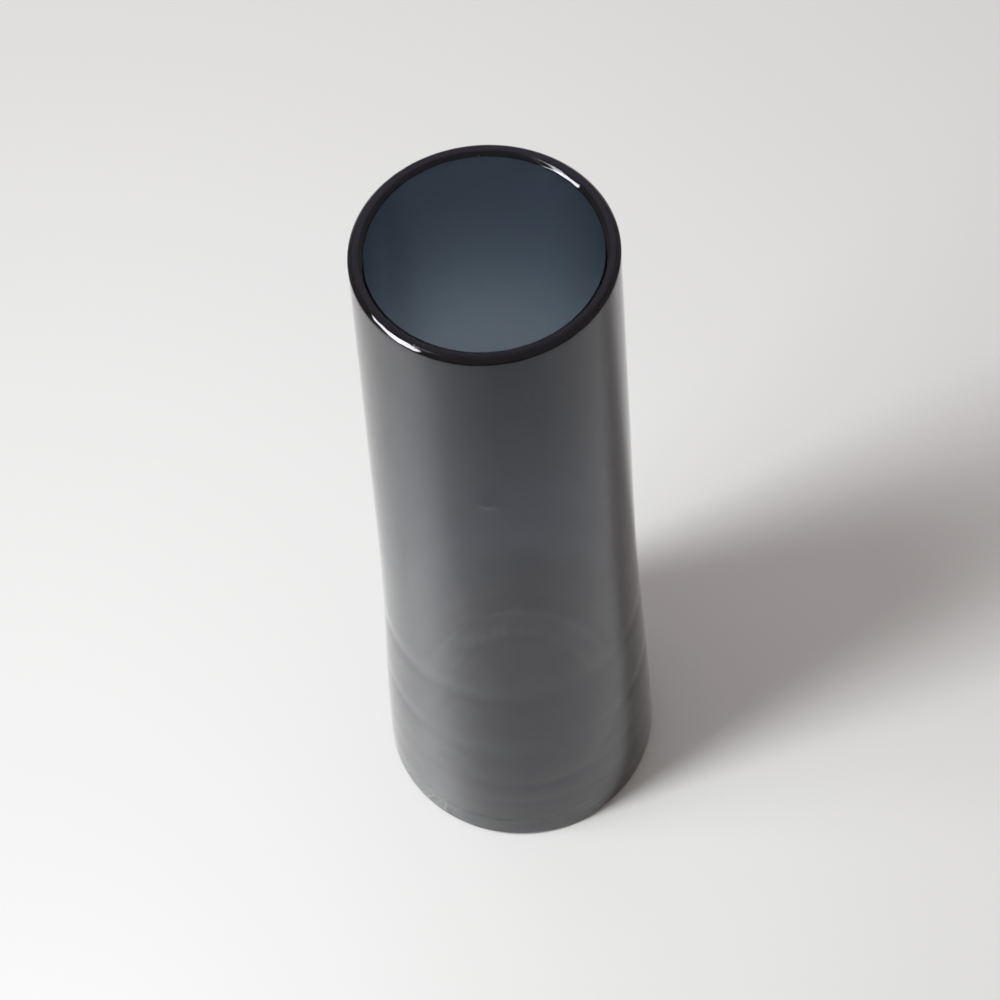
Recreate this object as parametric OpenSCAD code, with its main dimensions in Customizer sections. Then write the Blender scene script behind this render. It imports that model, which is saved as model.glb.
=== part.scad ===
// Tall smoked-glass vase, free standing, blown in one gather of glass.
// The body tapers from a heavy foot to a narrower mouth, and the lip is ground flat and bevelled.
// Z is the axis of the vase, and z = 0 is the surface it stands on. All sizes are in millimetres.

/* [Overall size] */
// Height from the standing surface to the flat of the lip
height = 250; // [200:5:300]
// Outer diameter of the side profile at the foot, before the edge is rounded
foot_d = 85; // [78:1:96]
// Outer diameter at the lip
lip_d = 63; // [56:1:72]

/* [Side profile] */
// Radius that the gentle flare adds to the straight taper at the foot
flare = 2.3; // [0:0.1:4]
// Height at which the flare has died away into the straight taper
flare_h = 123; // [60:1:150]

/* [Glass thickness] */
// Thickness of the blown wall over the middle of the body
wall_t = 2.2; // [2:0.1:4]
// Thickness of the wall where it reaches the lip
lip_t = 3.6; // [3:0.1:5]
// Distance below the lip over which the wall thins from lip_t to wall_t
thinning_h = 85; // [40:5:110]
// Thickness that the wall would have at the standing surface, where the glass is heaviest
foot_t = 5; // [4:0.1:8]
// Height over which the wall thins from foot_t to wall_t
thickening_h = 55; // [40:5:120]
// Thickness of the floor at the edge of its hollow underside
floor_t = 9; // [6:0.5:14]
// Radius of the inside corner between the floor and the wall
heel_r = 9; // [4:0.5:12]

/* [Foot] */
// Radius of the rounded outer edge of the foot
foot_edge_r = 2; // [1:0.5:5]
// Diameter of the shallow hollow under the floor
hollow_d = 56; // [40:1:60]
// Rise of that hollow at its centre
hollow_h = 2.5; // [1:0.5:4]

/* [Lip] */
// Height of the finished band of glass at the mouth
lip_h = 10; // [6:1:20]
// Width of the polished bevel on each edge of the lip
lip_bevel = 0.9; // [0.4:0.1:1.2]

/* [Hidden] */
$fn = 96;

glass_colour = [0.16, 0.17, 0.19, 0.9];

// Heights of the two flat planes at which the regions of the vase are fused
base_top = floor_t + heel_r;
rim_bottom = height - lip_h;

// Number of straight steps that stand for each curved stretch of an outline
wall_steps = 24;
arc_steps = 10;
band_steps = 4;

// Share of a half cosine wave left at a distance: 1 at 0, and 0 from span onwards
function ease(distance, span) = (1 + cos(180 * min(1, distance / span))) / 2;

// Outer radius of the vase at height z: a straight taper with the flare added near the foot
taper = (foot_d - lip_d) / 2 - flare;
function outer_r(z) = lip_d / 2 + taper * (1 - z / height) + flare * ease(z, flare_h);

// Thickness of the wall at height z, and the inner radius that it leaves
function thickness(z) = wall_t + (lip_t - wall_t) * ease(height - z, thinning_h)
    + (foot_t - wall_t) * ease(z, thickening_h);
function inner_r(z) = outer_r(z) - thickness(z);

// Points [radius, z] up the outer face or down the inner face between two heights
function outer_face(low, high, steps) =
    [for (i = [0 : steps]) let (z = low + (high - low) * i / steps) [outer_r(z), z]];
function inner_face(low, high, steps) =
    [for (i = [0 : steps]) let (z = high - (high - low) * i / steps) [inner_r(z), z]];

// Points on a quarter circle, from straight below its centre until one step short of level with it,
// where the face that it blends into takes over
function quarter(centre_r, centre_z, radius) =
    [for (i = [0 : arc_steps - 1]) let (a = 90 * i / arc_steps)
        [centre_r + radius * sin(a), centre_z - radius * cos(a)]];

// Points up the domed hollow under the floor, from its edge to the axis
hollow_r = hollow_d / 2;
dome_r = (pow(hollow_r, 2) + pow(hollow_h, 2)) / (2 * hollow_h);
function hollow() =
    [for (i = [0 : arc_steps]) let (r = hollow_r * (1 - i / arc_steps))
        [r, sqrt(pow(dome_r, 2) - pow(r, 2)) + hollow_h - dome_r]];

// The same list of points in the opposite order
function reversed(points) = [for (i = [len(points) - 1 : -1 : 0]) points[i]];

// Thick floor, rounded foot and inside heel, up to where the even wall begins
module base() {
    heel_centre_r = inner_r(base_top) - heel_r;
    foot_edge = quarter(outer_r(foot_edge_r) - foot_edge_r, foot_edge_r, foot_edge_r);
    outside = outer_face(foot_edge_r, base_top, band_steps);
    heel = concat([[inner_r(base_top), base_top]], reversed(quarter(heel_centre_r, base_top, heel_r)));
    floor_centre = [[0, floor_t]];

    color(glass_colour)
        rotate_extrude()
            polygon(concat(reversed(hollow()), foot_edge, outside, heel, floor_centre));
}

// Blown wall between the base and the finished lip
module wall() {
    outside = outer_face(base_top, rim_bottom, wall_steps);
    inside = inner_face(base_top, rim_bottom, wall_steps);

    color(glass_colour)
        rotate_extrude()
            polygon(concat(outside, inside));
}

// Lip ground flat across the top, with a narrow polished bevel on each edge
module rim() {
    bevel_bottom = height - lip_bevel;
    outside = outer_face(rim_bottom, bevel_bottom, band_steps);
    flat = [[outer_r(height) - lip_bevel, height], [inner_r(height) + lip_bevel, height]];
    inside = inner_face(rim_bottom, bevel_bottom, band_steps);

    color(glass_colour)
        rotate_extrude()
            polygon(concat(outside, flat, inside));
}

base();
wall();
rim();
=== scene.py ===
"""Looks of the smoked-glass vase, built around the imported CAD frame. Metres, +Z up."""

import math

import bpy
from mathutils import Matrix, Vector, noise


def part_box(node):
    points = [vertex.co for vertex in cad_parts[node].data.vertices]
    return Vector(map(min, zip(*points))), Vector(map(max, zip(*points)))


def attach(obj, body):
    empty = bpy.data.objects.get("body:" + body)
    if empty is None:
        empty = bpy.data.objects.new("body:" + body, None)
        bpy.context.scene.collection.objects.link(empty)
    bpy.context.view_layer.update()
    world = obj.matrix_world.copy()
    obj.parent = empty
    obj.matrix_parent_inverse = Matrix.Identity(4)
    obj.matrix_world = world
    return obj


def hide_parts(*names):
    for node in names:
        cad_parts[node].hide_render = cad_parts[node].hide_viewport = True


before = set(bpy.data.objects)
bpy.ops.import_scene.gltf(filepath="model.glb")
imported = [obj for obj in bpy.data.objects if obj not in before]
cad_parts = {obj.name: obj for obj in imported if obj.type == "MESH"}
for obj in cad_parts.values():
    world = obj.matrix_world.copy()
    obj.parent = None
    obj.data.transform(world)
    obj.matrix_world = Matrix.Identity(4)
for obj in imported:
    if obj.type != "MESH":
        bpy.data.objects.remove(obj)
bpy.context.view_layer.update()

MM = 0.001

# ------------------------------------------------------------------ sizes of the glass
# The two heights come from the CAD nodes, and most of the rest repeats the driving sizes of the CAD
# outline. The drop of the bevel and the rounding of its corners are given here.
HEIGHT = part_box("rim")[1].z
HEEL_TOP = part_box("base")[1].z
LIP_R = 31.5 * MM
FOOT_R = 42.5 * MM
FLARE = 2.3 * MM
FLARE_HEIGHT = 123 * MM
WALL = 2.2 * MM
LIP_WALL = 3.6 * MM
THINNING = 85 * MM
FOOT_WALL = 5 * MM
THICKENING = 55 * MM
FLOOR = 9 * MM
HEEL_RADIUS = HEEL_TOP - FLOOR
FOOT_EDGE = 2 * MM
HOLLOW_R = 28 * MM
HOLLOW_RISE = 2.5 * MM
BEVEL = 0.9 * MM
BEVEL_DROP = 0.84 * MM
ARRIS = 0.25 * MM

# Where the finished lip starts, and where the hand work on the outer face ends.
LIP_START = HEIGHT - 3 * BEVEL
HAND_WORK_TOP = HEIGHT - 4 * BEVEL

# Faint rings that the turning left in the lower body: wide shallow grooves, each at a fixed share of the
# height of the one above it and narrower. The strongest lie round one height, and the others fade. Each
# ring is stronger on some sides of the vase than on others, and drifts a little up and down.
RINGS = 5
TOP_RING = 138 * MM
RING_SHARE = 0.64
RING_SLOPE = 0.028
STRONGEST_RING = 72 * MM
RING_FADE = 42 * MM
RING_WIDTH = (2.6 * MM, 5.2 * MM)
RING_UNEVEN = 0.8
RING_DRIFT = 1.1 * MM

# Seed: one air bubble under the skin of the wall, drawn out round it, that lifts a small blister. The last
# number says how many times more slowly the blister fades upwards than downwards.
SEED_AZIMUTH = math.radians(262.9)
SEED_HEIGHT = 190.5 * MM
SEED_HALF_LENGTH = 1.7 * MM
SEED_HALF_HEIGHT = 0.75 * MM
SEED_RISE = 0.34 * MM
SEED_DRAG = 5

# Haze that water leaves inside the lower half: full roughness up to one height, none above the other. It
# goes by distance from the axis, so the underside has it too. It starts gradually, this deep in the wall.
HAZE = 0.16
HAZE_FULL = 60 * MM
HAZE_TOP = 150 * MM
HAZE_DEPTH = 0.2 * MM

# Roughness that the smears of handling, the grinding of the lip's flat and the small chips round the lip
# add to the glass, and the heights between which the last two come in.
SMEARS = (0.0, 0.09)
GROUND = (0.16, 0.21)
GROUND_HEIGHTS = (HEIGHT - 0.12 * MM, HEIGHT - 0.02 * MM)
CHIPS = (0.0, 0.7)
CHIP_HEIGHTS = (HEIGHT - 4 * MM, HEIGHT - 1 * MM)

# Slow waves of the blown surface: their depth, and the height of one of them.
WAVE_DEPTH = 0.05 * MM
WAVE_HEIGHT = 45 * MM

# Hand work dies away over these distances from the lip and from the foot's rounded edge.
CALM_AT_LIP = 25 * MM
CALM_AT_FOOT = 8 * MM

# Spacing of the mesh: vertices round the vase, rows where the surface is worked, and rows elsewhere.
AROUND = 288
FINE_ROW = 0.6 * MM
ROW = 1.6 * MM

# Straight steps that stand for the foot's rounded edge, the hollow, the heel and the inside floor.
EDGE_STEPS = 8
DOME_STEPS = 14
HEEL_STEPS = 12
FLOOR_STEPS = 5


# ------------------------------------------------------------------ outline of the glass
def ease(distance, span):
    """Share of a half cosine wave left at a distance: 1 at 0, and 0 from span onwards."""
    return (1 + math.cos(math.pi * min(1.0, max(0.0, distance / span)))) / 2


def outer_r(z):
    taper = FOOT_R - LIP_R - FLARE
    return LIP_R + taper * (1 - z / HEIGHT) + FLARE * ease(z, FLARE_HEIGHT)


def inner_r(z):
    at_lip = (LIP_WALL - WALL) * ease(HEIGHT - z, THINNING)
    at_foot = (FOOT_WALL - WALL) * ease(z, THICKENING)
    return outer_r(z) - WALL - at_lip - at_foot


def rows(low, high, step):
    """Heights from low to high, evenly spaced and about a step apart."""
    count = max(1, round((high - low) / step))
    return [low + (high - low) * i / count for i in range(count + 1)]


def arc(centre_r, centre_z, radius, start, end, steps):
    """Points on an arc of the outline. An angle of 0 points away from the axis, and 90 points up."""
    points = []
    for i in range(steps + 1):
        angle = math.radians(start + (end - start) * i / steps)
        points.append((centre_r + radius * math.cos(angle), centre_z + radius * math.sin(angle)))
    return points


def softened(points, cut, steps=4):
    """The same open outline with each of its corners rounded over a short stretch."""
    rounded = [points[0]]
    for triple in zip(points, points[1:], points[2:]):
        before, corner, after = map(Vector, triple)
        start = corner + (before - corner).normalized() * cut
        end = corner + (after - corner).normalized() * cut
        for i in range(steps + 1):
            t = i / steps
            point = start * (1 - t) ** 2 + corner * 2 * t * (1 - t) + end * t ** 2
            rounded.append((point.x, point.y))
    rounded.append(points[-1])
    return rounded


def outline():
    """The section of the glass, from beside the axis underneath round to beside the axis inside."""
    dome_r = (HOLLOW_R ** 2 + HOLLOW_RISE ** 2) / (2 * HOLLOW_RISE)
    hollow = []
    for i in range(1, DOME_STEPS + 1):
        r = HOLLOW_R * i / DOME_STEPS
        hollow.append((r, math.sqrt(dome_r ** 2 - r ** 2) + HOLLOW_RISE - dome_r))
    foot = arc(outer_r(FOOT_EDGE) - FOOT_EDGE, FOOT_EDGE, FOOT_EDGE, -90, 0, EDGE_STEPS)
    blister_top = SEED_HEIGHT + 3 * SEED_DRAG * SEED_HALF_HEIGHT
    worked = rows(FOOT_EDGE, blister_top, FINE_ROW)
    plain = rows(blister_top, LIP_START - ROW, ROW)
    side = [(outer_r(z), z) for z in worked[1:] + plain[1:]]
    lip = softened([
        (outer_r(LIP_START), LIP_START),
        (outer_r(HEIGHT - BEVEL_DROP), HEIGHT - BEVEL_DROP),
        (LIP_R - BEVEL, HEIGHT),
        (inner_r(HEIGHT) + BEVEL, HEIGHT),
        (inner_r(HEIGHT - BEVEL_DROP), HEIGHT - BEVEL_DROP),
        (inner_r(LIP_START), LIP_START),
    ], ARRIS)
    inside = [(inner_r(z), z) for z in reversed(rows(HEEL_TOP, LIP_START - ROW, 2 * ROW))]
    heel = arc(inner_r(HEEL_TOP) - HEEL_RADIUS, HEEL_TOP, HEEL_RADIUS, 0, -90, HEEL_STEPS)[1:]
    floor = [(heel[-1][0] * i / FLOOR_STEPS, FLOOR) for i in range(FLOOR_STEPS - 1, 0, -1)]
    return hollow + foot + side + lip + inside + heel + floor


def wander(across, pace, x, z):
    """A slow value about 0 that changes round the vase. The last two numbers pick which one."""
    return noise.noise(across * pace + Vector((x, 0, z)))


def rings(z, across):
    """Depth of the turning rings at a height, on the side that a flat unit vector points to."""
    depth = 0.0
    for i in range(RINGS):
        home = TOP_RING * RING_SHARE ** i
        width = RING_WIDTH[0] + (RING_WIDTH[1] - RING_WIDTH[0]) * home / TOP_RING
        strength = math.exp(-((home - STRONGEST_RING) / RING_FADE) ** 2)
        strength *= 1 + RING_UNEVEN * wander(across, 1.1, 0, 3.7 * i)
        place = home + RING_DRIFT * wander(across, 0.9, 5.1, 2.3 * i)
        away = (z - place) / width
        if abs(away) < 3:
            depth += RING_SLOPE * width * strength * math.exp(-away * away)
    return depth


def blister(r, z, azimuth):
    """How far the seed lifts the outer face at a place on it."""
    along = r * (azimuth - SEED_AZIMUTH) / SEED_HALF_LENGTH
    reach = SEED_HALF_HEIGHT * (SEED_DRAG if z > SEED_HEIGHT else 1)
    up = (z - SEED_HEIGHT) / reach
    return SEED_RISE * math.exp(-along * along - up * up)


def hand_work(r, z, azimuth):
    """How far the outer face of the body stands off its true outline."""
    if not FOOT_EDGE < z < HAND_WORK_TOP or r < inner_r(z) + WALL / 2:
        return 0.0
    across = Vector((math.cos(azimuth), math.sin(azimuth), 0))
    waves = WAVE_DEPTH * wander(across, 1.4, 0, z / WAVE_HEIGHT)
    edge = min(1.0, (HEIGHT - z) / CALM_AT_LIP, (z - FOOT_EDGE) / CALM_AT_FOOT)
    return (waves - rings(z, across)) * edge + blister(r, z, azimuth)


# ------------------------------------------------------------------ meshes
def lathe(start_z, points, end_z):
    """Vertices and faces turned about Z: a point on the axis, rings of vertices, a point on the axis."""
    vertices = [(0.0, 0.0, start_z)]
    for r, z in points:
        for i in range(AROUND):
            azimuth = 2 * math.pi * i / AROUND
            skin = r + hand_work(r, z, azimuth)
            vertices.append((skin * math.cos(azimuth), skin * math.sin(azimuth), z))
    last = len(vertices)
    vertices.append((0.0, 0.0, end_z))
    top = last - AROUND
    faces = []
    for i in range(AROUND):
        j = (i + 1) % AROUND
        faces.append((0, 1 + j, 1 + i))
        for k in range(len(points) - 1):
            here = 1 + k * AROUND
            beyond = here + AROUND
            faces.append((here + i, here + j, beyond + j, beyond + i))
        faces.append((top + i, top + j, last))
    return vertices, faces


def add_object(name, data):
    thing = bpy.data.objects.new(name, data)
    bpy.context.scene.collection.objects.link(thing)
    return thing


def add_mesh(name, vertices, faces, material):
    mesh = bpy.data.meshes.new(name)
    mesh.from_pydata(vertices, [], faces)
    mesh.materials.append(material)
    return add_object(name, mesh)


def build_vase():
    vertices, faces = lathe(HOLLOW_RISE, outline(), FLOOR)
    piece = add_mesh("vase_glass", vertices, faces, smoked_glass())
    piece.data.shade_smooth()
    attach(piece, "root")
    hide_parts("base", "wall", "rim")


# ------------------------------------------------------------------ materials
class Nodes:
    """Short ways to add shader nodes to a material."""

    def __init__(self, material):
        self.nodes = material.node_tree.nodes
        self.links = material.node_tree.links

    def remap(self, value, before, after=(0, 1)):
        """A value carried from one range to another, and held at the ends of that range."""
        node = self.nodes.new("ShaderNodeMapRange")
        for name, number in zip(("From Min", "From Max", "To Min", "To Max"), (*before, *after)):
            node.inputs[name].default_value = number
        self.links.new(value, node.inputs["Value"])
        return node.outputs["Result"]

    def combine(self, operation, first, second):
        node = self.nodes.new("ShaderNodeMath")
        node.operation = operation
        self.links.new(first, node.inputs[0])
        self.links.new(second, node.inputs[1])
        return node.outputs["Value"]

    def mottle(self, where, scale, detail):
        node = self.nodes.new("ShaderNodeTexNoise")
        node.inputs["Scale"].default_value = scale
        node.inputs["Detail"].default_value = detail
        self.links.new(where, node.inputs["Vector"])
        return node.outputs["Fac"]

    def cells(self, where, scale):
        """Distance from the middle of the nearest of many scattered cells."""
        node = self.nodes.new("ShaderNodeTexVoronoi")
        node.inputs["Scale"].default_value = scale
        self.links.new(where, node.inputs["Vector"])
        return node.outputs["Distance"]

    def distance_from_axis(self, place):
        flat = self.nodes.new("ShaderNodeCombineXYZ")
        self.links.new(place.outputs["X"], flat.inputs["X"])
        self.links.new(place.outputs["Y"], flat.inputs["Y"])
        length = self.nodes.new("ShaderNodeVectorMath")
        length.operation = "LENGTH"
        self.links.new(flat.outputs["Vector"], length.inputs[0])
        return length.outputs["Value"]


def glass_roughness(material):
    """Roughness of the polished glass: smears, the ground lip and its specks, and the haze inside."""
    graph = Nodes(material)
    where = graph.nodes.new("ShaderNodeTexCoord").outputs["Object"]
    place = graph.nodes.new("ShaderNodeSeparateXYZ")
    graph.links.new(where, place.inputs["Vector"])
    height = place.outputs["Z"]

    smears = graph.remap(graph.mottle(where, scale=38, detail=5), (0.45, 0.8), SMEARS)

    wheel = graph.remap(graph.mottle(where, scale=400, detail=2), (0.3, 0.7), GROUND)
    ground = graph.combine("MULTIPLY", graph.remap(height, GROUND_HEIGHTS), wheel)

    chips = graph.remap(graph.cells(where, scale=150), (0.045, 0.025), CHIPS)
    specks = graph.combine("MULTIPLY", graph.remap(height, CHIP_HEIGHTS), chips)

    low_middle = outer_r(HAZE_FULL) - WALL / 2
    high_middle = outer_r(HAZE_TOP) - WALL / 2
    middle = graph.remap(height, (HAZE_FULL, HAZE_TOP), (low_middle, high_middle))
    past_middle = graph.combine("SUBTRACT", graph.distance_from_axis(place), middle)
    inside = graph.remap(past_middle, (HAZE_DEPTH, -HAZE_DEPTH))
    haze = graph.combine("MULTIPLY", inside, graph.remap(height, (HAZE_TOP, HAZE_FULL), (0, HAZE)))

    polish = graph.combine("ADD", smears, ground)
    return graph.combine("ADD", polish, graph.combine("ADD", specks, haze))


def smoked_glass():
    """Clear glass, coloured by what it absorbs on the way through."""
    material = bpy.data.materials.new("smoked_glass")
    material.use_nodes = True
    nodes = material.node_tree.nodes
    links = material.node_tree.links
    shader = nodes["Principled BSDF"]
    shader.inputs["Base Color"].default_value = (1, 1, 1, 1)
    shader.inputs["Transmission Weight"].default_value = 1
    shader.inputs["IOR"].default_value = 1.506
    shader.inputs["Specular Tint"].default_value = (0.917, 0.89, 1.0, 1)
    links.new(glass_roughness(material), shader.inputs["Roughness"])
    smoke = nodes.new("ShaderNodeVolumeAbsorption")
    smoke.inputs["Color"].default_value = (0.195, 0.283, 0.36, 1)
    smoke.inputs["Density"].default_value = 1000
    links.new(smoke.outputs["Volume"], nodes["Material Output"].inputs["Volume"])
    return material


def plain_material(name, colour, roughness, ior):
    material = bpy.data.materials.new(name)
    material.use_nodes = True
    shader = material.node_tree.nodes["Principled BSDF"]
    shader.inputs["Base Color"].default_value = colour
    shader.inputs["Roughness"].default_value = roughness
    shader.inputs["IOR"].default_value = ior
    return material


# ------------------------------------------------------------------ stage, light and camera
def add_sheet(name, corners, material):
    return add_mesh(name, corners, [(0, 1, 2, 3)], material)


def build_table():
    half = 1.6
    corners = [(-half, -half, 0), (half, -half, 0), (half, half, 0), (-half, half, 0)]
    satin_white = plain_material("table_top", (0.95, 0.95, 0.945, 1), roughness=0.426, ior=2.19)
    table = add_sheet("table", corners, satin_white)


def build_card():
    """A dark card in front of the vase, that takes some of the room's light off its upper body."""
    half = 1.2
    y = -0.32
    height = 0.257
    corners = [(-half, y, 0), (half, y, 0), (half, y, height), (-half, y, height)]
    matt_black = plain_material("front_card", (0.03, 0.03, 0.03, 1), roughness=0.9, ior=1.5)
    card = add_sheet("front_card", corners, matt_black)
    card.visible_camera = False


def towards(azimuth, elevation, distance):
    """The point at a distance from the vase's foot, with angles in degrees."""
    turn = math.radians(azimuth)
    rise = math.radians(elevation)
    level = math.cos(rise)
    return Vector((math.cos(turn) * level, math.sin(turn) * level, math.sin(rise))) * distance


def soft_light(name, place, size, watts, colour):
    """A rectangular area light that faces the vase's foot."""
    light = bpy.data.lights.new(name, "AREA")
    light.shape = "RECTANGLE"
    light.size, light.size_y = size
    light.energy = watts
    light.color = colour
    lamp = add_object(name, light)
    lamp.location = place
    lamp.rotation_euler = (-place).to_track_quat("-Z", "Y").to_euler()


def build_light():
    daylight = (0.975, 1.0, 1.0)
    cool = (0.7, 0.67, 1.0)
    soft_light("window", towards(198.9, 45, 3.0), size=(0.54, 2.55), watts=54, colour=daylight)
    soft_light("near_softbox", towards(198.1, 58, 0.43), size=(0.16, 0.06), watts=0.8, colour=daylight)
    soft_light("back_strip", towards(91, 52.4, 2.5), size=(1.3, 0.5), watts=1.25, colour=cool)
    world = bpy.data.worlds.new("room")
    world.use_nodes = True
    bpy.context.scene.world = world
    background = world.node_tree.nodes["Background"]
    background.inputs["Color"].default_value = (1.0, 0.93, 0.89, 1)
    background.inputs["Strength"].default_value = 0.35


def build_camera():
    data = bpy.data.cameras.new("camera")
    data.sensor_width = 36
    data.lens = 79.2
    data.clip_start = 0.01
    camera = add_object("camera", data)
    bpy.context.scene.camera = camera
    aim = Vector((-1.15 * MM, 0, 0.549 * HEIGHT))
    distance = 0.6012
    elevation = math.radians(59.28)
    roll = math.radians(-4.848)
    camera.location = aim + Vector((0, -math.cos(elevation), math.sin(elevation))) * distance
    turn = (aim - camera.location).to_track_quat("-Z", "Y").to_matrix().to_4x4()
    camera.matrix_world = Matrix.Translation(camera.location) @ turn @ Matrix.Rotation(roll, 4, "Z")


def set_tones():
    """Plain tones with a soft shoulder, so that the brightest part of the table keeps its shape."""
    view = bpy.context.scene.view_settings
    view.view_transform = "Standard"
    view.use_curve_mapping = True
    mapping = view.curve_mapping
    brightest = 1.6
    mapping.white_level = (brightest, brightest, brightest)
    curve = mapping.curves[3]
    for light, tone in ((0.25, 0.25), (0.5, 0.5), (0.75, 0.73), (1.0, 0.87), (1.3, 0.95)):
        curve.points.new(light / brightest, tone)
    mapping.update()


build_vase()
build_table()
build_card()
build_light()
build_camera()
set_tones()
